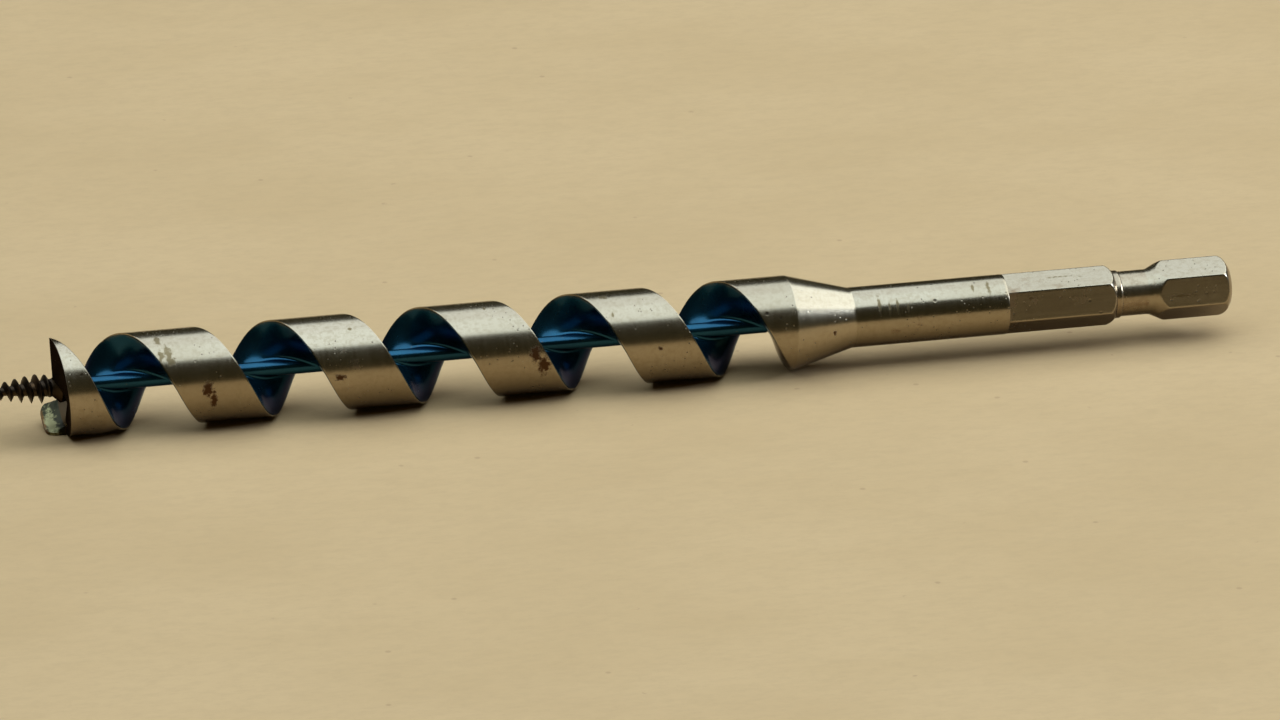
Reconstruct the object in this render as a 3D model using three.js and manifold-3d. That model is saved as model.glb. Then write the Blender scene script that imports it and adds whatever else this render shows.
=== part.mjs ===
// Wood auger bit, 12 mm, right-hand single flute, on a 1/4 inch hex quick-change shank.
//
// The bit lies along X, its feed screw towards -X and its drive end towards +X. The origin is
// the centre of the flat end face of the shank, and +Z is up as the bit lies on a bench. Polar
// angles are measured about the X axis from +Y towards +Z, so on its right-hand helix they
// grow with x. Millimetres and degrees.
import * as THREE from "three";
import { mergeVertices } from "three/addons/utils/BufferGeometryUtils.js";
import Module from "manifold-3d";

// ---- driving dimensions ----------------------------------------------------------------

const bore = 12.0;                    // hole that the head cuts
const twistDiameter = 11.54;          // the flight is ground smaller, to clear the hole
const shankDiameter = 7.29;
const acrossFlats = 6.35;             // 1/4 inch hexagon
const neckDiameter = 5.44;            // ball groove of the quick-change shank
const collarDiameter = 5.8;
const shankEndDiameter = 5.0;         // flat left inside the end chamfer

// Stations along the bit, from the shank's end face.
const endChamfer = -1.3;
const tailStart = -8.0;               // tail hexagon at full size
const rampStart = -10.4;              // ramp from the ball groove up to the tail hexagon
const collarEnd = -13.7;              // low collar in the groove, against the drive hexagon
const grooveStart = -14.4;
const hexEnd = -15.3;                 // the drive hexagon's rear chamfer begins
const hexStart = -28.0;
const coneEnd = -47.1;
const coneStart = -54.9;
const headEnd = -138.0;               // the cutting head meets the flight
const lip = -145.05;                  // cutting lip, the front of the head
const screwLength = 9.9;

// Twist.
const pitch = 18.28;
const flutePhaseAtLip = -15.5;        // polar angle of the flute's middle at the lip
const headSwing = 8;                  // degrees that the flute turns further inside the head
const swingStart = -142.5;
const fluteWidth = 186.6;             // degrees of the section that the flute takes at the rim
const coreRadius = 0.93;              // from the bit's axis to the floor of the coated flute
const undercut = 0.25;                // how far the flat walls slope inwards from rim to core
const coating = 0.16;                 // thickness of the blue coating
const coatingStart = -142.9;          // just behind the end face
const rimStrip = 0.18;                // bare strip between the coating and the land
const headTaper = 1.5;                // length over which the head narrows to the flight
const runOutStart = -57.5;            // the flute's floor begins to rise towards the cone
const runOutAngle = 358;              // polar angle at which the flute's leading wall stops

// Head.
const reliefHeight = 1.9;             // the end face falls away behind the lip
const reliefStart = 8;                // degrees behind the lip
const reliefEnd = 175;
const spurTip = -145.75;
const spurBase = -143.6;
const spurRoot = -141.0;
const spurWall = 1.05;                // thickness of the spur at its base
const spurEdge = 0.35;                // and at its sharpened tip
const spurFrom = 265;
const spurTo = 321;
const bossLength = 2.5;               // root of the feed screw inside the head

// Feed screw.
const threadPitch = 1.23;
const threadRadius = 1.86;
const threadTaper = 1.8;
const threadFlank = 0.34;             // share of the pitch that one flank takes
const threadPhaseAtLip = 294;         // polar angle of the crest at the lip
const threadRunOut = 1.2;             // length over which the thread fades into the head
const screwRootRadius = 1.08;
const screwTipRadius = 0.12;

const hexRoll = 168;                  // polar angle of the normal of one flat

// Fineness.
const stepsPerTurn = 16;
const sectionSegments = 16;
const roundSegments = 36;
const spurSegments = 8;
const threadSides = 10;
const threadStepsPerTurn = 12;

// ---- derived sizes and helpers ---------------------------------------------------------

const headRadius = bore / 2;
const twistRadius = twistDiameter / 2;
const shankRadius = shankDiameter / 2;
const neckRadius = neckDiameter / 2;
const collarRadius = collarDiameter / 2;
const screwTip = lip - screwLength;
const slabDepth = coreRadius / 2;     // how far the coating's slab reaches into the flight

const { clamp, degToRad, lerp, radToDeg, smoothstep } = THREE.MathUtils;

function setPolar(vertex, x, radius, angle) {
  vertex.set(x, radius * Math.cos(degToRad(angle)), radius * Math.sin(degToRad(angle)));
}

// Moves each vertex of a plain closed geometry to its place on the finished surface.
function reshape(geometry, place) {
  const position = geometry.attributes.position;
  const vertex = new THREE.Vector3();
  for (let i = 0; i < position.count; i += 1) {
    vertex.fromBufferAttribute(position, i);
    place(vertex);
    position.setXYZ(i, vertex.x, vertex.y, vertex.z);
  }
  geometry.computeVertexNormals();
  return geometry;
}

// The diagonals of a plain grid cross a right-hand helix, which leaves it bumpy. A grid that is
// laid out mirrored and then turned inside out has diagonals that follow the helix.
function turnInsideOut(geometry) {
  const { array } = geometry.index;
  for (let i = 0; i < array.length; i += 3) {
    [array[i], array[i + 1]] = [array[i + 1], array[i]];
  }
  geometry.computeVertexNormals();
  return geometry;
}

// A turned piece from its profile, a list of [x, radius] that starts and ends on the axis.
function turned(profile) {
  const points = profile.map(([x, radius]) => new THREE.Vector2(radius, x));
  return new THREE.LatheGeometry(points, roundSegments).rotateZ(-Math.PI / 2);
}

const wasm = await Module();
wasm.setup();

function solid(geometry) {
  const bare = geometry.clone();
  bare.deleteAttribute("normal");
  bare.deleteAttribute("uv");
  const merged = mergeVertices(bare, 1e-4);
  return new wasm.Manifold(new wasm.Mesh({
    numProp: 3,
    vertProperties: new Float32Array(merged.attributes.position.array),
    triVerts: new Uint32Array(merged.index.array),
  }));
}

function geometryOf(body) {
  const { vertProperties, triVerts } = body.getMesh();
  const geometry = new THREE.BufferGeometry();
  geometry.setAttribute("position", new THREE.BufferAttribute(vertProperties, 3));
  geometry.setIndex(new THREE.BufferAttribute(triVerts, 1));
  geometry.computeVertexNormals();
  return geometry;
}

// ---- materials -------------------------------------------------------------------------

const steel = (color, roughness) => new THREE.MeshStandardMaterial({ color, roughness, metalness: 1 });

const groundSteel = steel(0xb9b6a8, 0.34);
const headSteel = steel(0x8f8672, 0.45);
const shankSteel = steel(0xaaa596, 0.4);
const grooveSteel = steel(0x968f7c, 0.5);
const blackenedSteel = steel(0x2a2119, 0.6);
const blueEnamel = new THREE.MeshStandardMaterial({ color: 0x0f3a5c, roughness: 0.38, metalness: 0.2 });

// ---- the flute -------------------------------------------------------------------------

// Polar angle of the middle of the full flute at station x.
function flutePhase(x) {
  return flutePhaseAtLip + 360 * (x - lip) / pitch + headSwing * smoothstep(x, swingStart, headEnd);
}

const runOutTurns = Math.floor((flutePhase(coneStart) + fluteWidth / 2 - runOutAngle) / 360);
const leadingStop = runOutAngle + 360 * runOutTurns;

// The flute at station x. Before the cone it runs out: its leading wall stops turning, which
// squeezes it, and its floor rises to the rim.
function fluteAt(x) {
  const trailing = flutePhase(x) - fluteWidth / 2;
  const leading = Math.min(flutePhase(x) + fluteWidth / 2, leadingStop);
  return {
    middle: (trailing + leading) / 2,
    half: (leading - trailing) / 2,
    rise: smoothstep(x, runOutStart, coneStart),
  };
}

// The full flute's section in its own plane, from 0 at its middle to 1 at its rim: a quarter turn
// round the core, a fillet that starts level with the axis, and the flat wall. x is measured along
// the wall, y out of the flute.
function fluteSection(share, rim, inset) {
  const core = coreRadius - coating + inset;
  const wall = rim * Math.cos(degToRad(fluteWidth / 2)) + inset;
  const fillet = undercut - wall;
  if (share < 0.5) {
    const angle = share * Math.PI;
    return new THREE.Vector2(core * Math.sin(angle), core * Math.cos(angle));
  }
  if (share < 0.625) {
    const angle = (share - 0.5) * 4 * Math.PI;
    return new THREE.Vector2(core + fillet * (1 - Math.cos(angle)), -fillet * Math.sin(angle));
  }
  const out = (share - 0.625) / 0.375;
  const reach = Math.sqrt(rim * rim - wall * wall);
  return new THREE.Vector2(lerp(core + fillet, reach, out), lerp(-fillet, wall, out));
}

// A point of the flute's surface, moved in by inset, from -1 at its trailing rim to 1 at its
// leading rim.
function placeInFlute(vertex, x, rim, inset, place) {
  const flute = fluteAt(x);
  const point = fluteSection(Math.abs(place), rim, inset);
  const angle = radToDeg(Math.atan2(point.x, point.y)) * flute.half / (fluteWidth / 2);
  const radius = lerp(point.length(), rim, flute.rise);
  setPolar(vertex, x, radius, flute.middle + Math.sign(place) * angle);
}

function stepsBetween(from, to) {
  return Math.ceil((to - from) / pitch * stepsPerTurn);
}

// ---- twisted pieces --------------------------------------------------------------------

// A stretch of twisted bar: a box that runs across the flute in x, from the flute to the land
// in y and along the bit in z. The front end lies at startAt(share of the way behind the lip).
function twistedBar(from, to, radiusAt, startAt) {
  const box = new THREE.BoxGeometry(1, 1, 1, sectionSegments, 1, stepsBetween(from, to));
  return turnInsideOut(reshape(box, (vertex) => {
    const across = -2 * vertex.x;
    const onLand = vertex.y > 0;
    const share = vertex.z + 0.5;
    const behind = onLand ? (1 - across) / 2 : 1 - smoothstep(across, -0.35, 0.35);
    const x = lerp(startAt(behind), to, share);
    const radius = radiusAt(x);
    if (onLand) {
      const { middle, half } = fluteAt(x);
      setPolar(vertex, x, radius, middle + 180 - across * (180 - half));
    } else {
      placeInFlute(vertex, x, radius - rimStrip, 0, across);
    }
  }));
}

const headRadiusAt = (x) => lerp(headRadius, twistRadius, clamp((x - headEnd) / headTaper + 1, 0, 1));

function endFace(behind) {
  const angle = behind * (360 - fluteWidth);
  return lip + reliefHeight * clamp((angle - reliefStart) / (reliefEnd - reliefStart), 0, 1);
}

// A curved tab at the rim: the box runs along its arc in x, from its outside to its inside in y
// and along the bit in z.
function rimTab(from, to, edge, corner) {
  const box = new THREE.BoxGeometry(1, 1, 1, spurSegments, 1, 1);
  return reshape(box, (vertex) => {
    const share = vertex.x + 0.5;
    const atFront = vertex.z < 0;
    const angle = lerp(spurFrom, spurTo, share);
    const wall = atFront ? edge : spurWall;
    const round = Math.min(1, 4 * share, 4 * (1 - share));
    const x = atFront ? from + corner * (1 - round) : to;
    setPolar(vertex, x, vertex.y > 0 ? headRadius - wall : headRadius, angle);
  });
}

function cuttingHead() {
  const bar = solid(twistedBar(lip, headEnd, headRadiusAt, endFace));
  const spurSeat = solid(rimTab(spurBase, spurRoot, spurWall, 0));
  const boss = solid(turned([
    [lip, 0],
    [lip, screwRootRadius],
    [lip + bossLength, coreRadius / 2],
    [lip + bossLength, 0],
  ]));
  return geometryOf(bar.add(spurSeat).add(boss));
}

const scoringSpur = () => rimTab(spurTip, spurBase, spurEdge, 1.2);

const twistFlight = () => twistedBar(headEnd, coneStart, () => twistRadius, () => headEnd);

// The coating lines the flute and stops short of its rims. It is laid as thick slabs that reach
// into the steel, one in the head and one in the flight, and the steel is cut out of them.
function coatingSlab(from, to) {
  const box = new THREE.BoxGeometry(1, 1, 1, sectionSegments, 1, stepsBetween(from, to));
  return solid(turnInsideOut(reshape(box, (vertex) => {
    const x = lerp(from, to, vertex.z + 0.5);
    const inset = vertex.y > 0 ? -slabDepth : coating;
    placeInFlute(vertex, x, headRadiusAt(x) - rimStrip, inset, -2 * vertex.x);
  })));
}

function fluteCoating(head, flight) {
  const slab = coatingSlab(coatingStart, headEnd).add(coatingSlab(headEnd, runOutStart));
  return geometryOf(slab.subtract(solid(head)).subtract(solid(flight)));
}

// ---- feed screw ------------------------------------------------------------------------

// A tapered wood thread: each section is a cam whose nose is the crest, and the sections turn
// with the thread's pitch.
function feedScrew() {
  const steps = Math.ceil(screwLength / threadPitch * threadStepsPerTurn);
  const bar = new THREE.CylinderGeometry(1, 1, 1, threadSides, steps).rotateZ(-Math.PI / 2);
  return turnInsideOut(reshape(bar, (vertex) => {
    const x = lerp(screwTip, lip, vertex.x + 0.5);
    const share = (lip - x) / screwLength;
    const root = lerp(screwRootRadius, screwTipRadius, share);
    const crest = Math.max(root, threadRadius * (1 - share ** threadTaper));
    const turn = -Math.atan2(vertex.z, vertex.y) / (2 * Math.PI);
    const tooth = Math.max(0, 1 - Math.abs(turn) / threadFlank) * smoothstep(lip - x, 0, threadRunOut);
    const radius = lerp(root, crest, tooth) * Math.hypot(vertex.y, vertex.z);
    setPolar(vertex, x, radius, threadPhaseAtLip + 360 * (turn + (x - lip) / threadPitch));
  }));
}

// ---- cone, shank and quick-change end --------------------------------------------------

const shoulderCone = () => turned([
  [coneStart, 0],
  [coneStart, twistRadius],
  [coneEnd, shankRadius],
  [coneEnd, 0],
]);

const roundShank = () => turned([
  [coneEnd, 0],
  [coneEnd, shankRadius],
  [hexStart, shankRadius],
  [hexStart, 0],
]);

const retainingGroove = () => turned([
  [grooveStart, 0],
  [grooveStart, collarRadius],
  [collarEnd, collarRadius],
  [collarEnd, neckRadius],
  [rampStart, neckRadius],
  [rampStart, 0],
]);

// A stretch of hexagon: the turned blank between two stations, cut down to the flats.
function hexagon(from, to, blank) {
  const corner = acrossFlats / Math.sqrt(3);
  const prism = new THREE.CylinderGeometry(corner, corner, to - from + 2, 6);
  prism.rotateZ(-Math.PI / 2).rotateX(degToRad(hexRoll)).translate((from + to) / 2, 0, 0);
  return geometryOf(solid(prism).intersect(solid(turned(blank))));
}

const hexDrive = () => hexagon(hexStart, grooveStart, [
  [hexStart, 0],
  [hexStart, shankRadius],
  [hexEnd, shankRadius],
  [grooveStart, collarRadius],
  [grooveStart, 0],
]);

const hexTail = () => hexagon(rampStart, 0, [
  [rampStart, 0],
  [rampStart, neckRadius],
  [tailStart, shankRadius],
  [endChamfer, shankRadius],
  [0, shankEndDiameter / 2],
  [0, 0],
]);

// ---- assembly --------------------------------------------------------------------------

function piece(name, geometry, material) {
  const mesh = new THREE.Mesh(geometry, material);
  mesh.name = name;
  return mesh;
}

const cuttingEnd = new THREE.Group();
const head = cuttingHead();
cuttingEnd.add(
  piece("feed_screw", feedScrew(), blackenedSteel),
  piece("cutting_head", head, headSteel),
  piece("scoring_spur", scoringSpur(), headSteel),
);

const twist = new THREE.Group();
const flight = twistFlight();
twist.add(
  piece("twist_flight", flight, groundSteel),
  piece("flute_coating", fluteCoating(head, flight), blueEnamel),
);

const shank = new THREE.Group();
shank.add(
  piece("shoulder_cone", shoulderCone(), groundSteel),
  piece("round_shank", roundShank(), shankSteel),
  piece("hex_drive", hexDrive(), shankSteel),
  piece("retaining_groove", retainingGroove(), grooveSteel),
  piece("hex_tail", hexTail(), shankSteel),
);

const auger = new THREE.Group();
auger.add(cuttingEnd, twist, shank);

export default auger;
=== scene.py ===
"""Wood auger bit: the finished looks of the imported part.

Every steel region of the bit is rebuilt here as a fine mesh on the part's own dimensions, with
rounded edges and procedural materials. Lengths are given in millimetres, in the part's frame:
the bit lies along X, feed screw towards -X, and +Z is up. Polar angles are degrees about X, from
+Y towards +Z. Meshes are scaled to metres when they are made.
"""

import math

import bmesh
import bpy
import numpy as np
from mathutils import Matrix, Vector


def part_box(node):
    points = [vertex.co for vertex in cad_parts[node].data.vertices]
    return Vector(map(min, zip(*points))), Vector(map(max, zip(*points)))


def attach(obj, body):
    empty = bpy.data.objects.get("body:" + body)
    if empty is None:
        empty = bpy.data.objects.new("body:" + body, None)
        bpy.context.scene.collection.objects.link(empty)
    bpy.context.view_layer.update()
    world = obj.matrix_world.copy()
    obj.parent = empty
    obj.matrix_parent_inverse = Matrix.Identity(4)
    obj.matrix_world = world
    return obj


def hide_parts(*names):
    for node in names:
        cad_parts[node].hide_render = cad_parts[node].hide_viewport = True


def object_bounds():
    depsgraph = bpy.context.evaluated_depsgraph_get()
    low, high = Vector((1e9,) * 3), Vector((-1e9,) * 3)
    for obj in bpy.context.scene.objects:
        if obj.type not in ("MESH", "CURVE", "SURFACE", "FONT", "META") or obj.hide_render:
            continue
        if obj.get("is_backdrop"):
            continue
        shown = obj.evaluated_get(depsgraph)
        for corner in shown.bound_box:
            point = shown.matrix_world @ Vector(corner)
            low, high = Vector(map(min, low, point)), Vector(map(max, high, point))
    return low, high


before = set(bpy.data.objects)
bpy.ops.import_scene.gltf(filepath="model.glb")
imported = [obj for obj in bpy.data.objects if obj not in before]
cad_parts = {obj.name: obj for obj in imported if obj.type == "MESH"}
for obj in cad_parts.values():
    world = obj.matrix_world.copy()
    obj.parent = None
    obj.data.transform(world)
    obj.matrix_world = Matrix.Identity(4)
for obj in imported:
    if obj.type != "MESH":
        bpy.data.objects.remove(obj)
cad_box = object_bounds()

MM = 0.001
SHARP_ANGLE = 32

# ---- stations along the bit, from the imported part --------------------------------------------


def span(node):
    """The stations between which a CAD node lies, in millimetres."""
    low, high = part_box(node)
    return low.x / MM, high.x / MM


SCREW_TIP, LIP = span("feed_screw")
HEAD_END, CONE_START = span("twist_flight")
CONE_END = span("shoulder_cone")[1]
HEX_START, GROOVE_START = span("hex_drive")
RAMP_START, SHANK_END = span("hex_tail")
COATING_START, RUN_OUT_START = span("flute_coating")

# ---- sizes of the part -----------------------------------------------------------------------

HEAD_RADIUS = 6.0
TWIST_RADIUS = 5.77
SHANK_RADIUS = 3.645
FLAT_RADIUS = 3.175
NECK_RADIUS = 2.72
COLLAR_RADIUS = 2.9
SHANK_END_RADIUS = 2.5
COLLAR_END = -13.7
HEX_END = -15.3
TAIL_START = -8.0
END_CHAMFER = -1.3
HEX_ROLL = 168

PITCH = 18.28
FLUTE_PHASE = -15.5
HEAD_SWING = 8
SWING_START = -142.5
FLUTE_WIDTH = 186.6
CORE_RADIUS = 0.93
UNDERCUT = 0.25
COATING = 0.16
RIM_STRIP = 0.18
HEAD_TAPER = 1.5
RUN_OUT_ANGLE = 358
EDGE_ROUND = 0.02
HEX_EDGE_ROUND = 0.022

# Shares of a section's points: round the core, in the fillet, and on a land's rounded edge.
CORE_SHARE = 0.5
FILLET_SHARE = 0.125
ROUNDED_SHARE = 0.015

RELIEF_HEIGHT = 1.9
RELIEF_FROM = 8
RELIEF_TO = 175
SPUR_TIP = -145.75
SPUR_BASE = -143.6
SPUR_ROOT = -141.0
SPUR_WALL = 1.05
SPUR_EDGE = 0.35
SPUR_FROM = 265
SPUR_TO = 321
SPUR_CORNER = 1.2
BOSS_LENGTH = 2.5
BOSS_RADIUS = 1.9

THREAD_PITCH = 1.23
THREAD_RADIUS = 1.86
THREAD_TAPER = 1.8
THREAD_FLANK = 0.34
THREAD_PHASE = 294
THREAD_RUN_OUT = 1.2
SCREW_ROOT = 1.08
SCREW_TIP_RADIUS = 0.12

# ---- marks on the steel ----------------------------------------------------------------------
# Each is a station, a radius, a polar angle, a length along the bit and a width round it.

TWIST_RUST = (
    (-127.3, 5.77, 178, 1.1, 1.7),
    (-126.6, 5.77, 192, 0.8, 2.0),
    (-87.3, 5.77, 170, 1.2, 1.9),
    (-86.3, 5.77, 184, 1.3, 2.2),
    (-111.2, 5.77, 177, 1.2, 0.6),
    (-71.9, 5.77, 176, 0.5, 0.5),
    (-50.0, 4.6, 182, 0.4, 0.7),
    (-49.8, 4.6, 162, 0.3, 0.3),
)
TWIST_STAINS = (
    (-132.6, 5.77, 107, 0.7, 1.5),
    (-131.7, 5.77, 130, 0.8, 2.0),
    (-131.4, 5.77, 140, 1.1, 0.9),
    (-132.6, 5.77, 132, 0.6, 1.3),
    (-77.9, 5.77, 99, 1.0, 0.8),
    (-77.3, 5.77, 130, 0.3, 0.6),
    (-92.5, 5.77, 101, 0.3, 0.6),
    (-109.3, 5.77, 117, 0.4, 0.4),
)
SHANK_STAINS = (
    (-44.1, 3.6, 140, 0.35, 2.2),
    (-42.9, 3.6, 150, 0.3, 1.6),
    (-41.9, 3.6, 146, 0.3, 2.0),
    (-40.6, 3.6, 152, 0.25, 1.2),
    (-30.4, 3.6, 122, 0.4, 1.6),
    (-32.3, 3.6, 120, 0.3, 1.0),
)
FLAT_STAINS = (
    (-21.2, 3.3, 102, 3.2, 0.28),
    (-18.6, 3.3, 106, 1.6, 0.22),
    (-25.2, 3.2, 151, 0.9, 0.35),
    (-6.6, 3.2, 175, 2.0, 0.3),
)
# On the spur, a painted highlight strip and a painted reflection of the floor at its tip.
SPUR_PAINTED_HIGHLIGHT = ((-144.9, 5.3, 282, 1.1, 4.8),)
SPUR_FLOOR_REFLECTION = ((-145.7, 5.6, 285, 0.5, 5.0),)

# ---- colours of wear on the steel ------------------------------------------------------------

STAIN_BROWN = (0.17, 0.095, 0.045)
# Painted shade for the steel's undersides, which face the shaded floor.
UNDERSIDE_SHADE_BROWN = (0.13, 0.09, 0.045)
DULL_BROWN = (0.15, 0.11, 0.055)
RUST_BROWN = (0.075, 0.035, 0.014)
SPOT_BROWN = (0.08, 0.06, 0.04)
BLOT_BROWN = (0.06, 0.04, 0.028)

# ---- view and studio -------------------------------------------------------------------------

LOOK_AT = Vector((-0.0750, -0.0079, 0.0))
VIEW_AZIMUTH = 13.94
VIEW_ELEVATION = 20.79
VIEW_DISTANCE = 1.9
LENS = 447.6
FLOOR_SIZE = 12.0
LIGHT_HEIGHT = 1.2
LIGHT_FRONT = -0.78
LIGHT_MIDDLE = 0.25
LIGHT_BACK = 1.28
LIGHT_LEFT = -1.3
LIGHT_SIDE = 0.6
LIGHT_RIGHT = 1.8
FRONT_LUMINANCE = (1.81, 2.23, 2.58)
BACK_LUMINANCE = (1.60, 1.91, 2.19)
SIDE_LUMINANCE = (2.23, 2.56, 2.80)
KEY_LUMINANCE = (18.0, 21.6, 26.6)
KEY_FRONT = -1.10
KEY_BACK = -0.10
KEY_RIGHT = 3.4
ROOM = (0.039, 0.034, 0.012)
BACKGROUND = (0.62, 0.55, 0.44)

# ---- mesh building ---------------------------------------------------------------------------


def smooth(value, low, high):
    share = np.clip((value - low) / (high - low), 0, 1)
    return share * share * (3 - 2 * share)


def polar(x, radius, angle):
    x, radius, angle = np.broadcast_arrays(x, radius, np.radians(angle))
    return np.stack([x, radius * np.cos(angle), radius * np.sin(angle)], axis=-1)


def grid_quads(rows, columns, first):
    index = first + np.arange(rows * columns).reshape(rows, columns)
    corners = [index[:-1, :-1], index[1:, :-1], index[1:, 1:], index[:-1, 1:]]
    return np.stack(corners, axis=-1).reshape(-1, 4)


def build_mesh(name, grids, bare=None):
    """One mesh from grids of points whose borders coincide, with its faces outward.

    bare gives each grid's share of bare bright metal, for the materials that use it.
    """
    quads = []
    first = 0
    for grid in grids:
        quads.append(grid_quads(grid.shape[0], grid.shape[1], first))
        first += grid.shape[0] * grid.shape[1]
    points = np.concatenate([grid.reshape(-1, 3) for grid in grids])
    keys = np.round(points * 1e4).astype(np.int64)
    _, kept, index = np.unique(keys, axis=0, return_index=True, return_inverse=True)
    index = index.reshape(-1)
    faces = []
    for quad in index[np.concatenate(quads)].tolist():
        face = list(dict.fromkeys(quad))
        if len(face) > 2:
            faces.append(face)
    mesh = bpy.data.meshes.new(name)
    mesh.from_pydata((points[kept] * MM).tolist(), [], faces)
    if bare is not None:
        values = np.concatenate([grid.reshape(-1) for grid in bare])[kept]
        attribute = mesh.attributes.new("bare", "FLOAT", "POINT")
        attribute.data.foreach_set("value", values.astype(np.float32))
    work = bmesh.new()
    work.from_mesh(mesh)
    bmesh.ops.recalc_face_normals(work, faces=work.faces)
    work.to_mesh(mesh)
    work.free()
    mesh.polygons.foreach_set("use_smooth", [True] * len(mesh.polygons))
    mesh.set_sharp_from_angle(angle=math.radians(SHARP_ANGLE))
    return mesh


def box_grids(counts, place):
    """The six faces of a box of counts cells, each point moved by place(u, v, w) from 0..1."""
    u, v, w = (np.linspace(0, 1, count + 1) for count in counts)
    grids = []
    for side in (0.0, 1.0):
        grids.append(place(u[:, None], side, w[None, :]))
        grids.append(place(side, v[:, None], w[None, :]))
        grids.append(place(u[:, None], v[None, :], side))
    return grids


def turned_grids(stations, radius_at, sides):
    """A turned skin: radius_at(x, angle) between stations, closed on the axis at both ends."""
    angle = np.linspace(0, 360, sides + 1)[None, :]
    x = np.asarray(stations)[:, None]
    skin = polar(x, radius_at(x, angle), angle)
    skin[:, -1] = skin[:, 0]
    front = polar(x[[0]], 0.0, angle)
    back = polar(x[[-1]], 0.0, angle)
    return [np.concatenate([front, skin, back])]


def stations_between(low, high, step):
    return np.linspace(low, high, max(2, int(math.ceil((high - low) / step)) + 1))


# ---- the flute -------------------------------------------------------------------------------


def flute_phase(x):
    return FLUTE_PHASE + 360 * (x - LIP) / PITCH + HEAD_SWING * smooth(x, SWING_START, HEAD_END)


def leading_stop():
    turns = math.floor((flute_phase(CONE_START) + FLUTE_WIDTH / 2 - RUN_OUT_ANGLE) / 360)
    return RUN_OUT_ANGLE + 360 * turns


def flute_at(x):
    """Middle angle and half width of the flute, and how far its floor has risen, from 0 to 1."""
    trailing = flute_phase(x) - FLUTE_WIDTH / 2
    leading = np.minimum(flute_phase(x) + FLUTE_WIDTH / 2, leading_stop())
    return (trailing + leading) / 2, (leading - trailing) / 2, smooth(x, RUN_OUT_START, CONE_START)


def flute_section(share, rim, inset):
    """The full flute's section from its middle to its rim: along the wall, and out of the flute.

    A quarter turn round the core leads into a fillet, and that into the flat wall.
    """
    core = CORE_RADIUS - COATING + inset
    wall = rim * math.cos(math.radians(FLUTE_WIDTH / 2)) + inset
    fillet = UNDERCUT - wall
    reach = np.sqrt(rim**2 - wall**2)
    turn = np.clip(share / CORE_SHARE, 0, 1) * math.pi / 2
    bend = np.clip((share - CORE_SHARE) / FILLET_SHARE, 0, 1) * math.pi / 2
    wall_start = CORE_SHARE + FILLET_SHARE
    out = np.clip((share - wall_start) / (1 - wall_start), 0, 1)
    along = core * np.sin(turn) + fillet * (1 - np.cos(bend)) + (reach - core - fillet) * out
    outward = core * np.cos(turn) - fillet * np.sin(bend) + (wall + fillet) * out
    return along, outward


def flute_point(x, rim, inset, place):
    middle, half, rise = flute_at(x)
    along, outward = flute_section(np.abs(place), rim, inset)
    angle = np.degrees(np.arctan2(along, outward)) * half / (FLUTE_WIDTH / 2)
    radius = np.hypot(along, outward)
    return polar(x, radius + (rim - radius) * rise, middle + np.sign(place) * angle)


def head_radius_at(x):
    return HEAD_RADIUS + (TWIST_RADIUS - HEAD_RADIUS) * np.clip((x - HEAD_END) / HEAD_TAPER + 1, 0, 1)


def end_face(behind):
    angle = behind * (360 - FLUTE_WIDTH)
    return LIP + RELIEF_HEIGHT * np.clip((angle - RELIEF_FROM) / (RELIEF_TO - RELIEF_FROM), 0, 1)


def land_point(x, radius, place):
    middle, half, _ = flute_at(x)
    edge = np.clip((np.abs(place) - 1 + ROUNDED_SHARE) / ROUNDED_SHARE, 0, 1)
    return polar(x, radius - EDGE_ROUND * edge**2, middle + 180 - place * (180 - half))


def twisted_grids(front, end, radius_at, counts):
    """A stretch of twisted bar: u runs across it, v from the flute to the land, w along it."""

    def place(u, v, w):
        across = 1 - 2 * np.asarray(u, float)
        land_front = front((1 - across) / 2)
        flute_front = front(1 - smooth(across, -0.35, 0.35))
        land_x = land_front + (end - land_front) * w
        flute_x = flute_front + (end - flute_front) * w
        land = land_point(land_x, radius_at(land_x), across)
        flute = flute_point(flute_x, radius_at(flute_x) - RIM_STRIP, 0, across)
        share = np.asarray(v, float)
        share = share[..., None] if share.ndim else share
        return flute + (land - flute) * share

    return box_grids(counts, place)


# ---- pieces ----------------------------------------------------------------------------------


def add_piece(name, mesh, material, node):
    mesh.materials.append(material)
    piece = bpy.data.objects.new(name, mesh)
    bpy.context.scene.collection.objects.link(piece)
    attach(piece, "root")
    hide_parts(node)
    return piece


def flat_front(behind):
    return HEAD_END + 0 * behind


def flight_mesh():
    grids = twisted_grids(flat_front, CONE_START, lambda x: TWIST_RADIUS, (96, 2, 420))
    return build_mesh("flight", grids)


def rim_tab_grids(front, back, edge, corner):
    """A curved tab at the rim: u along its arc, v from outside to inside, w along the bit."""

    def place(u, v, w):
        u, v, w = np.broadcast_arrays(np.asarray(u, float), v, w)
        ends = np.minimum(u, 1 - u)
        rounding = 1 - np.sqrt(np.clip(1 - (1 - np.minimum(1, 4 * ends)) ** 2, 0, 1))
        start = front + corner * rounding
        x = start + (back - start) * w
        wall = edge + (SPUR_WALL - edge) * smooth(w, 0, 0.9)
        angle = SPUR_FROM + (SPUR_TO - SPUR_FROM) * u
        return polar(x, HEAD_RADIUS - wall * v, angle)

    return box_grids((40, 4, 24), place)


def boss_radius(x, angle):
    """The hub round the feed screw's root, swelling into the head."""
    stations = (LIP, LIP + 0.35 * BOSS_LENGTH, LIP + 0.85 * BOSS_LENGTH, LIP + BOSS_LENGTH)
    return np.interp(x, stations, (SCREW_ROOT, BOSS_RADIUS, BOSS_RADIUS - 0.3, CORE_RADIUS / 2)) + 0 * angle


def bare_land(grids):
    """Only the land, the fourth grid of a twisted bar, is ground bright."""
    return [np.full(grid.shape[:2], float(index == 3)) for index, grid in enumerate(grids)]


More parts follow.
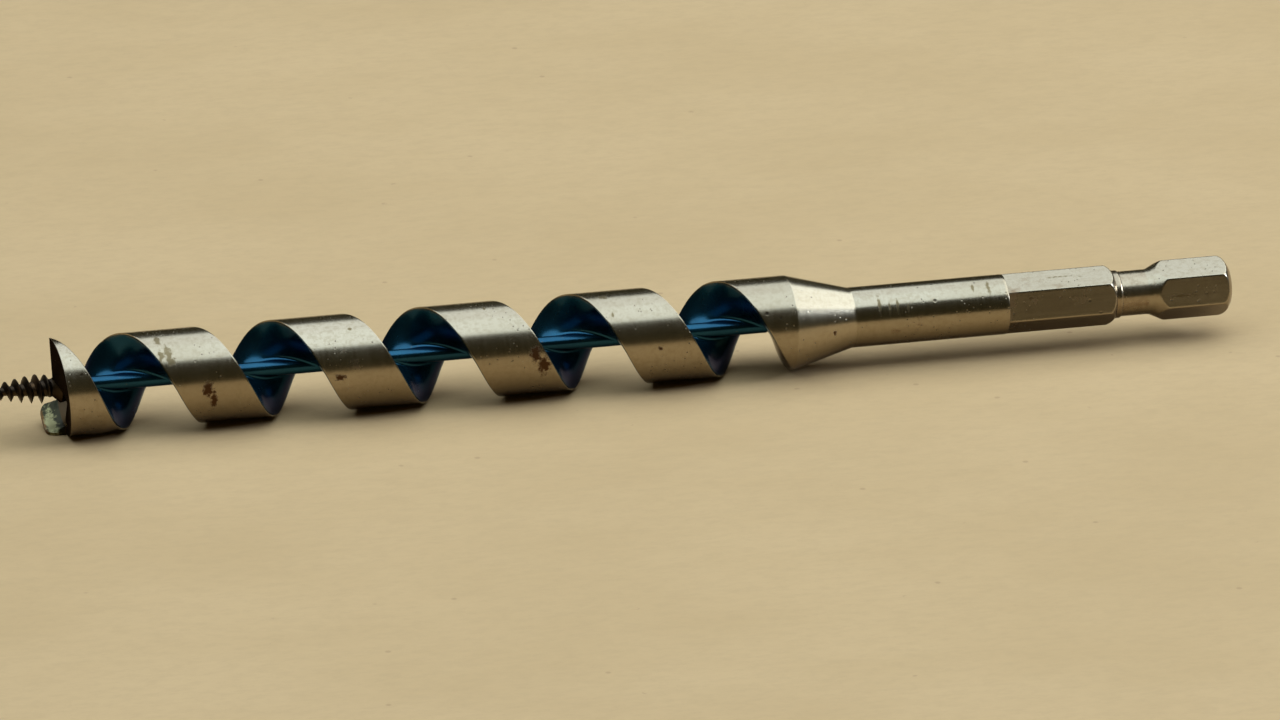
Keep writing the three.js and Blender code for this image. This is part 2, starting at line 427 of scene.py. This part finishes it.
def head_mesh():
    bar = twisted_grids(end_face, HEAD_END, head_radius_at, (96, 16, 60))
    seat = rim_tab_grids(SPUR_BASE, SPUR_ROOT, SPUR_WALL, 0)
    boss = turned_grids(stations_between(LIP, LIP + BOSS_LENGTH, 0.1), boss_radius, 48)
    grids = bar + seat + boss
    return build_mesh("head", grids, bare_land(grids))


def spur_mesh():
    return build_mesh("spur", rim_tab_grids(SPUR_TIP, SPUR_BASE, SPUR_EDGE, SPUR_CORNER))


def coating_mesh():
    """The coating's skin: v from the steel under it to its own surface."""

    def place(u, v, w):
        across = 1 - 2 * np.asarray(u, float)
        x = COATING_START + (RUN_OUT_START - COATING_START) * np.asarray(w, float)
        rim = head_radius_at(x) - RIM_STRIP
        under = flute_point(x, rim, 0, across)
        outer = flute_point(x, rim, COATING, across)
        share = np.asarray(v, float)
        share = share[..., None] if share.ndim else share
        return under + (outer - under) * share

    def nearness_to_rim(u, v, w):
        u, v, w = np.broadcast_arrays(np.asarray(u, float), v, w)
        return np.abs(1 - 2 * u)

    counts = (112, 1, 420)
    return build_mesh("coating", box_grids(counts, place), box_grids(counts, nearness_to_rim))


def screw_radius(x, angle):
    share = (LIP - x) / (LIP - SCREW_TIP)
    root = SCREW_ROOT + (SCREW_TIP_RADIUS - SCREW_ROOT) * share
    crest = np.maximum(root, THREAD_RADIUS * (1 - share**THREAD_TAPER))
    turn = (angle - THREAD_PHASE) / 360 - (x - LIP) / THREAD_PITCH
    turn = turn - np.round(turn)
    tooth = np.clip(1 - np.abs(turn) / THREAD_FLANK, 0, 0.94) / 0.94
    return root + (crest - root) * tooth * smooth(LIP - x, 0, THREAD_RUN_OUT)


def screw_mesh():
    return build_mesh("screw", turned_grids(stations_between(SCREW_TIP, LIP, 0.035), screw_radius, 96))


def lathe_mesh(name, profile, step=0.5, sides=144):
    """A turned piece whose radius follows the profile, a list of (x, radius)."""
    xs, radii = (np.array(values, float) for values in zip(*profile))
    stations = np.unique(np.concatenate([xs, stations_between(xs[0], xs[-1], step)]))
    return build_mesh(name, turned_grids(stations, lambda x, a: np.interp(x, xs, radii) + 0 * a, sides))


def cone_mesh():
    edge = 0.04
    return lathe_mesh("cone", [
        (CONE_START, TWIST_RADIUS),
        (CONE_START + edge, TWIST_RADIUS),
        (CONE_START + 4 * edge, TWIST_RADIUS - 0.7 * edge),
        (CONE_END - 8 * edge, SHANK_RADIUS + 1.8 * edge),
        (CONE_END - 4 * edge, SHANK_RADIUS + 0.6 * edge),
        (CONE_END, SHANK_RADIUS),
    ])


def shank_mesh():
    edge = 0.08
    return lathe_mesh("shank", [
        (CONE_END, SHANK_RADIUS),
        (HEX_START - edge, SHANK_RADIUS),
        (HEX_START - 0.3 * edge, SHANK_RADIUS - 0.3 * edge),
        (HEX_START, SHANK_RADIUS - edge),
    ])


def groove_mesh():
    return lathe_mesh("groove", [
        (GROOVE_START, COLLAR_RADIUS),
        (COLLAR_END - 0.12, COLLAR_RADIUS),
        (COLLAR_END - 0.03, COLLAR_RADIUS - 0.04),
        (COLLAR_END, NECK_RADIUS + 0.06),
        (COLLAR_END + 0.08, NECK_RADIUS),
        (RAMP_START, NECK_RADIUS),
    ], step=0.15)


def soft_minimum(first, second, width):
    return -width * np.logaddexp(-first / width, -second / width)


def hexagon_mesh(name, profile, curve):
    """A hexagon cut into a turned blank, with rounded corners and curved chamfers."""
    xs, radii = (np.array(values, float) for values in zip(*profile))

    def radius_at(x, angle):
        local = (angle - HEX_ROLL + 30) % 60 - 30
        flats = FLAT_RADIUS / np.cos(np.radians(local))
        blank = np.interp(x, xs, radii) + curve(x)
        rounded = soft_minimum(flats, blank, HEX_EDGE_ROUND)
        return np.minimum(rounded, np.minimum(flats, blank))

    stations = stations_between(xs[0], xs[-1], 0.07)
    return build_mesh(name, turned_grids(stations, radius_at, 360))


def bulge(low, high, height):
    """A rounding that lifts a chamfer between two stations into a curve."""
    return lambda x: height * np.sin(math.pi * np.clip((x - low) / (high - low), 0, 1))


def hex_drive_mesh():
    profile = [
        (HEX_START, SHANK_RADIUS),
        (HEX_END, SHANK_RADIUS),
        (GROOVE_START, COLLAR_RADIUS),
    ]
    return hexagon_mesh("hex_drive", profile, bulge(HEX_END, GROOVE_START, 0.10))


def hex_tail_mesh():
    profile = [
        (RAMP_START, NECK_RADIUS),
        (RAMP_START + 0.45, NECK_RADIUS + 0.04),
        (TAIL_START - 0.25, SHANK_RADIUS - 0.06),
        (TAIL_START, SHANK_RADIUS),
        (END_CHAMFER, SHANK_RADIUS),
        (SHANK_END, SHANK_END_RADIUS),
    ]
    return hexagon_mesh("hex_tail", profile, bulge(END_CHAMFER, SHANK_END, 0.30))


# ---- material nodes --------------------------------------------------------------------------


def new_node(tree, kind, inputs=None, **settings):
    made = tree.nodes.new(kind)
    for key, value in settings.items():
        setattr(made, key, value)
    for key, value in (inputs or {}).items():
        if isinstance(value, bpy.types.NodeSocket):
            tree.links.new(value, made.inputs[key])
        else:
            made.inputs[key].default_value = value
    return made


def new_material(name):
    material = bpy.data.materials.new(name)
    material.use_nodes = True
    tree = material.node_tree
    return material, tree, tree.nodes["Principled BSDF"]


def coordinates(tree, scale, shift=0.0):
    """The object's own coordinates in metres, times scale."""
    source = new_node(tree, "ShaderNodeTexCoord")
    mapping = new_node(tree, "ShaderNodeMapping", {
        "Vector": source.outputs["Object"],
        "Location": (shift, 0.7 * shift, 1.3 * shift),
        "Scale": scale,
    })
    return mapping.outputs["Vector"]


def noise(tree, scale, detail=4.0, roughness=0.55, shift=0.0):
    made = new_node(tree, "ShaderNodeTexNoise", {
        "Vector": coordinates(tree, scale, shift),
        "Scale": 1.0,
        "Detail": detail,
        "Roughness": roughness,
    })
    return made.outputs["Fac"]


def between(tree, value, low, high, first=0.0, last=1.0):
    """value mapped smoothly from low..high to first..last."""
    made = new_node(tree, "ShaderNodeMapRange", {
        "Value": value,
        "From Min": low,
        "From Max": high,
        "To Min": first,
        "To Max": last,
    }, interpolation_type="SMOOTHSTEP")
    return made.outputs["Result"]


def combine(tree, operation, first, second):
    made = new_node(tree, "ShaderNodeMath", {0: first, 1: second}, operation=operation)
    return made.outputs["Value"]


def blend_colors(tree, factor, first, second):
    made = tree.nodes.new("ShaderNodeMix")
    made.data_type = "RGBA"
    sockets = {"Factor": made.inputs[0], "A": made.inputs[6], "B": made.inputs[7]}
    for key, value in (("Factor", factor), ("A", first), ("B", second)):
        if isinstance(value, bpy.types.NodeSocket):
            tree.links.new(value, sockets[key])
        else:
            sockets[key].default_value = (*value, 1.0)
    return made.outputs[2]


def bump(tree, height, distance, below=None):
    inputs = {"Height": height, "Strength": 1.0, "Distance": distance}
    if below is not None:
        inputs["Normal"] = below
    return new_node(tree, "ShaderNodeBump", inputs).outputs["Normal"]


def pits(tree, density, size, share, shift):
    """Small round pits: 1 inside a pit, on a share of the surface."""
    cells = new_node(tree, "ShaderNodeTexVoronoi", {
        "Vector": coordinates(tree, (density,) * 3, shift),
        "Scale": 1.0,
    })
    inside = between(tree, cells.outputs["Distance"], size, 0.4 * size)
    patch = between(tree, noise(tree, (260,) * 3, shift=shift), 1 - share, 1.04 - share)
    return combine(tree, "MULTIPLY", inside, patch)


def marked(tree, marks):
    """1 inside any of the marks, with soft ragged edges."""
    place = new_node(tree, "ShaderNodeTexCoord").outputs["Object"]
    ragged = between(tree, noise(tree, (2300,) * 3, roughness=0.7, shift=6.6), 0.25, 0.75, -0.6, 0.6)
    cover = 0.0
    for station, radius, angle, length, width in marks:
        centre = (polar(station, radius, angle) * MM).tolist()
        reach = (length / 2 * MM, width / 2 * MM, width / 2 * MM)
        away = new_node(tree, "ShaderNodeVectorMath", {0: place, 1: centre}, operation="SUBTRACT")
        away = new_node(tree, "ShaderNodeVectorMath", {0: away.outputs[0], 1: reach}, operation="DIVIDE")
        away = new_node(tree, "ShaderNodeVectorMath", {0: away.outputs[0]}, operation="LENGTH")
        distance = combine(tree, "ADD", away.outputs["Value"], ragged)
        cover = combine(tree, "MAXIMUM", cover, between(tree, distance, 1.45, 0.6))
    return cover


def worn(tree, color, rough, share, tint, roughening):
    """The colour and roughness with a rougher tint over a share of the surface."""
    added = combine(tree, "MULTIPLY", share, roughening)
    return blend_colors(tree, share, color, tint), combine(tree, "ADD", rough, added)


def bare_share(tree):
    return new_node(tree, "ShaderNodeAttribute", attribute_name="bare").outputs["Fac"]


def steel(name, clean, tarnished, gloss, grain, stains, rust=(), dull=(), unground_shade=None):
    """Bare steel, with painted shade that darkens the faces turned down, on the side the bit lies on.

    clean and tarnished are its colours, gloss its roughness, grain the scale of its machining marks
    and stains the share of brown stains. rust and dull are single marks, and the last argument is
    a dark colour painted as shade where the metal is not ground bright.
    """
    material, tree, shader = new_material(name)
    lines = noise(tree, grain, detail=5.0, roughness=0.65)
    clouds = noise(tree, (190, 240, 240), detail=5.0, roughness=0.62, shift=3.1)
    haze = noise(tree, (55, 90, 90), detail=3.0, shift=8.4)
    frost = noise(tree, (1500, 1700, 1700), detail=3.0, roughness=0.7, shift=9.8)
    stain = between(tree, clouds, 0.72 - stains, 0.86 - stains)
    color = blend_colors(tree, between(tree, haze, 0.35, 0.7, 0.0, 0.45), clean, tarnished)
    color = blend_colors(tree, between(tree, lines, 0.35, 0.68, 0.22, 0.0), color, tarnished)
    color = blend_colors(tree, between(tree, frost, 0.42, 0.68, 0.0, 0.6), color, tarnished)
    color = blend_colors(tree, combine(tree, "MULTIPLY", stain, 0.6), color, STAIN_BROWN)
    # Painted shade: faces that turn down are blended towards a dark brown.
    facing = new_node(tree, "ShaderNodeSeparateXYZ", {
        "Vector": new_node(tree, "ShaderNodeTexCoord").outputs["Normal"],
    })
    painted_underside_shade = between(tree, facing.outputs["Z"], 0.15, -0.85, 0.0, 0.85)
    color = blend_colors(tree, painted_underside_shade, color, UNDERSIDE_SHADE_BROWN)
    spots = pits(tree, 1500, 0.20, 0.50, 1.7)
    blots = pits(tree, 520, 0.16, 0.42, 5.2)
    color = blend_colors(tree, combine(tree, "MULTIPLY", spots, 0.6), color, SPOT_BROWN)
    color = blend_colors(tree, combine(tree, "MULTIPLY", blots, 0.7), color, BLOT_BROWN)
    rough = between(tree, lines, 0.3, 0.7, gloss - 0.015, gloss + 0.025)
    rough = combine(tree, "ADD", rough, combine(tree, "MULTIPLY", stain, 0.16))
    rough = combine(tree, "ADD", rough, combine(tree, "MULTIPLY", spots, 0.2))
    if dull:
        dulled = combine(tree, "MULTIPLY", marked(tree, dull), 0.92)
        color, rough = worn(tree, color, rough, dulled, DULL_BROWN, 0.15)
    if rust:
        color, rough = worn(tree, color, rough, marked(tree, rust), RUST_BROWN, 0.3)
    # Painted shade: where the metal is not ground bright, as on the head's end face, its colour and
    # glancing tint are darkened.
    if unground_shade:
        bare = bare_share(tree)
        color = blend_colors(tree, bare, unground_shade, color)
        covered = combine(tree, "SUBTRACT", 1.0, bare)
        rough = combine(tree, "ADD", rough, combine(tree, "MULTIPLY", covered, 0.25))
        painted_glancing_shade = blend_colors(tree, bare, (0.06, 0.045, 0.03), (1.0, 1.0, 1.0))
        tree.links.new(painted_glancing_shade, shader.inputs["Specular Tint"])
    tree.links.new(color, shader.inputs["Base Color"])
    tree.links.new(rough, shader.inputs["Roughness"])
    normal = bump(tree, lines, 4e-7)
    sunk = combine(tree, "MULTIPLY", combine(tree, "ADD", spots, blots), -1.0)
    normal = bump(tree, sunk, 1.5e-5, normal)
    tree.links.new(normal, shader.inputs["Normal"])
    shader.inputs["Metallic"].default_value = 1.0
    return material


def spur_steel():
    """The spur's filed steel, painted dark as shade, with one strip as a painted highlight and a brown
    patch at its tip as a painted reflection of the floor.
    """
    material, tree, shader = new_material("spur_steel")
    lines = noise(tree, (1400, 500, 500), detail=4.0, roughness=0.6)
    grained = between(tree, lines, 0.3, 0.7)
    # Painted shade: the spur's own colours are darkened all over.
    color = blend_colors(tree, grained, (0.018, 0.018, 0.011), (0.036, 0.033, 0.020))
    # Painted reflection of the floor: a brown patch at the spur's tip.
    color = blend_colors(tree, marked(tree, SPUR_FLOOR_REFLECTION), color, (0.10, 0.05, 0.018))
    # Painted highlight: one light strip across the spur.
    color = blend_colors(tree, marked(tree, SPUR_PAINTED_HIGHLIGHT), color, (0.22, 0.20, 0.10))
    tree.links.new(color, shader.inputs["Base Color"])
    tree.links.new(between(tree, lines, 0.3, 0.7, 0.36, 0.46), shader.inputs["Roughness"])
    tree.links.new(bump(tree, lines, 3e-6), shader.inputs["Normal"])
    shader.inputs["Metallic"].default_value = 1.0
    return material


def blue_enamel():
    """Dark blue baked coating, thin enough that the steel gives it a metallic sheen."""
    material, tree, shader = new_material("blue_enamel")
    clouds = noise(tree, (170, 260, 260), detail=4.0)
    flow = noise(tree, (700, 900, 900), detail=3.0, shift=2.3)
    cloudy = between(tree, clouds, 0.3, 0.72)
    color = blend_colors(tree, cloudy, (0.007, 0.046, 0.084), (0.013, 0.070, 0.116))
    ragged = combine(tree, "ADD", bare_share(tree), combine(tree, "MULTIPLY", flow, 0.06))
    scuffed = between(tree, ragged, 0.995, 1.045)
    color = blend_colors(tree, scuffed, color, (0.08, 0.10, 0.10))
    dust = pits(tree, 1300, 0.16, 0.52, 4.4)
    color = blend_colors(tree, combine(tree, "MULTIPLY", dust, 0.5), color, (0.10, 0.09, 0.07))
    tree.links.new(color, shader.inputs["Base Color"])
    tree.links.new(between(tree, clouds, 0.3, 0.7, 0.20, 0.28), shader.inputs["Roughness"])
    tree.links.new(bump(tree, flow, 5e-6), shader.inputs["Normal"])
    shader.inputs["Metallic"].default_value = 0.92
    shader.inputs["Specular Tint"].default_value = (0.07, 0.23, 0.36, 1.0)
    shader.inputs["Coat Weight"].default_value = 0.15
    shader.inputs["Coat Roughness"].default_value = 0.14
    return material


def floor_material():
    material, tree, shader = new_material("floor_paper")
    clouds = noise(tree, (18, 30, 1), detail=6.0, roughness=0.6)
    fibres = noise(tree, (420, 900, 1), detail=5.0, roughness=0.7, shift=1.9)
    cloudy = between(tree, clouds, 0.3, 0.7)
    color = blend_colors(tree, cloudy, (0.450, 0.298, 0.146), (0.487, 0.326, 0.165))
    fibrous = between(tree, fibres, 0.35, 0.75, 0.0, 0.35)
    color = blend_colors(tree, fibrous, color, (0.385, 0.258, 0.129))
    specks = pits(tree, 190, 0.09, 0.47, 7.7)
    color = blend_colors(tree, combine(tree, "MULTIPLY", specks, 0.5), color, (0.30, 0.18, 0.09))
    tree.links.new(color, shader.inputs["Base Color"])
    tree.links.new(bump(tree, fibres, 3e-5), shader.inputs["Normal"])
    shader.inputs["Roughness"].default_value = 0.85
    shader.inputs["Specular IOR Level"].default_value = 0.2
    return material


# ---- the object ------------------------------------------------------------------------------


def build_bit():
    around = (4200, 260, 260)
    along = (130, 3600, 3600)
    bright = (0.395, 0.330, 0.237)
    dim = (0.29, 0.23, 0.15)
    # Painted shade for the head's faces that are not ground, such as its end face.
    unground_shade = (0.055, 0.036, 0.020)
    ground = steel("ground_steel", bright, dim, 0.22, around, 0.10, TWIST_RUST, TWIST_STAINS)
    # The cone's steel is painted lighter than the lands' steel, a painted highlight for its brighter shine.
    cone = steel("cone_steel", (0.43, 0.363, 0.262), (0.35, 0.285, 0.195), 0.21, around, 0.06, TWIST_RUST)
    milled = steel("head_steel", (0.42, 0.355, 0.26), dim, 0.22, (1500, 700, 700), 0.10, unground_shade=unground_shade)
    drawn = steel("shank_steel", (0.37, 0.31, 0.222), dim, 0.20, around, 0.08, dull=SHANK_STAINS)
    flats = steel("flat_steel", (0.37, 0.31, 0.222), dim, 0.24, along, 0.12, dull=FLAT_STAINS)
    groove = steel("groove_steel", (0.36, 0.29, 0.20), (0.25, 0.185, 0.12), 0.24, around, 0.14)
    black = steel("blackened_steel", (0.042, 0.029, 0.019), (0.028, 0.019, 0.012), 0.46, (2600,) * 3, 0.2)
    spur = spur_steel()
    blue = blue_enamel()
    add_piece("flight_steel", flight_mesh(), ground, "twist_flight")
    add_piece("flute_lining", coating_mesh(), blue, "flute_coating")
    add_piece("milled_head", head_mesh(), milled, "cutting_head")
    add_piece("ground_spur", spur_mesh(), spur, "scoring_spur")
    add_piece("threaded_screw", screw_mesh(), black, "feed_screw")
    add_piece("turned_cone", cone_mesh(), cone, "shoulder_cone")
    add_piece("turned_shank", shank_mesh(), drawn, "round_shank")
    add_piece("chamfered_hex", hex_drive_mesh(), flats, "hex_drive")
    add_piece("turned_groove", groove_mesh(), groove, "retaining_groove")
    add_piece("rounded_tail", hex_tail_mesh(), flats, "hex_tail")


# ---- floor, light and camera -----------------------------------------------------------------


def build_floor():
    half = FLOOR_SIZE / 2
    height = -HEAD_RADIUS * MM
    sides = ((-half, -half), (half, -half), (half, half), (-half, half))
    mesh = bpy.data.meshes.new("floor")
    mesh.from_pydata([(x, y, height) for x, y in sides], [], [(0, 1, 2, 3)])
    mesh.materials.append(floor_material())
    floor = bpy.data.objects.new("floor", mesh)
    bpy.context.scene.collection.objects.link(floor)
    floor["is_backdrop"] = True


def build_panel(name, left, right, front, back, luminance):
    """A soft panel overhead, its borders measured from the middle of the bit."""
    strongest = max(luminance)
    data = bpy.data.lights.new(name, "AREA")
    data.shape = "RECTANGLE"
    data.size = right - left
    data.size_y = back - front
    data.color = [value / strongest for value in luminance]
    data.energy = strongest * math.pi * (right - left) * (back - front)
    panel = bpy.data.objects.new(name, data)
    middle = (cad_box[0].x + cad_box[1].x) / 2
    panel.location = (middle + (left + right) / 2, (front + back) / 2, LIGHT_HEIGHT)
    panel.visible_camera = False
    bpy.context.scene.collection.objects.link(panel)


def build_light():
    """A large soft panel, brighter to the front and to the side, and a smaller key beyond it."""
    build_panel("front_panel", LIGHT_LEFT, LIGHT_SIDE, LIGHT_FRONT, LIGHT_MIDDLE, FRONT_LUMINANCE)
    build_panel("back_panel", LIGHT_LEFT, LIGHT_SIDE, LIGHT_MIDDLE, LIGHT_BACK, BACK_LUMINANCE)
    build_panel("side_panel", LIGHT_SIDE, LIGHT_RIGHT, LIGHT_FRONT, LIGHT_BACK, SIDE_LUMINANCE)
    build_panel("key", LIGHT_RIGHT, KEY_RIGHT, KEY_FRONT, KEY_BACK, KEY_LUMINANCE)


def build_world():
    """A dim room for the reflections, and a pale background past the edge of the floor."""
    world = bpy.data.worlds.new("studio")
    world.use_nodes = True
    tree = world.node_tree
    room = tree.nodes["Background"]
    room.inputs["Color"].default_value = (*ROOM, 1.0)
    pale = new_node(tree, "ShaderNodeBackground", {"Color": (*BACKGROUND, 1.0)})
    path = new_node(tree, "ShaderNodeLightPath")
    chosen = new_node(tree, "ShaderNodeMixShader", {
        0: path.outputs["Is Camera Ray"],
        1: room.outputs["Background"],
        2: pale.outputs["Background"],
    })
    tree.links.new(chosen.outputs["Shader"], tree.nodes["World Output"].inputs["Surface"])
    bpy.context.scene.world = world


def build_camera():
    azimuth = math.radians(VIEW_AZIMUTH)
    elevation = math.radians(VIEW_ELEVATION)
    forward = Vector((
        math.sin(azimuth) * math.cos(elevation),
        math.cos(azimuth) * math.cos(elevation),
        -math.sin(elevation),
    ))
    data = bpy.data.cameras.new("camera")
    data.lens = LENS
    data.sensor_width = 36.0
    data.clip_start = 0.1
    data.clip_end = 50.0
    camera = bpy.data.objects.new("camera", data)
    camera.location = LOOK_AT - forward * VIEW_DISTANCE
    camera.rotation_mode = "QUATERNION"
    camera.rotation_quaternion = forward.to_track_quat("-Z", "Y")
    bpy.context.scene.collection.objects.link(camera)
    bpy.context.scene.camera = camera


def write_size():
    """The CAD box and the finished object's box."""
    boxes = {"cad": cad_box, "visual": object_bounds()}
    {name: [list(corner) for corner in box] for name, box in boxes.items()}


build_bit()
build_floor()
build_light()
build_world()
build_camera()
bpy.context.scene.view_settings.view_transform = "Standard"
write_size()
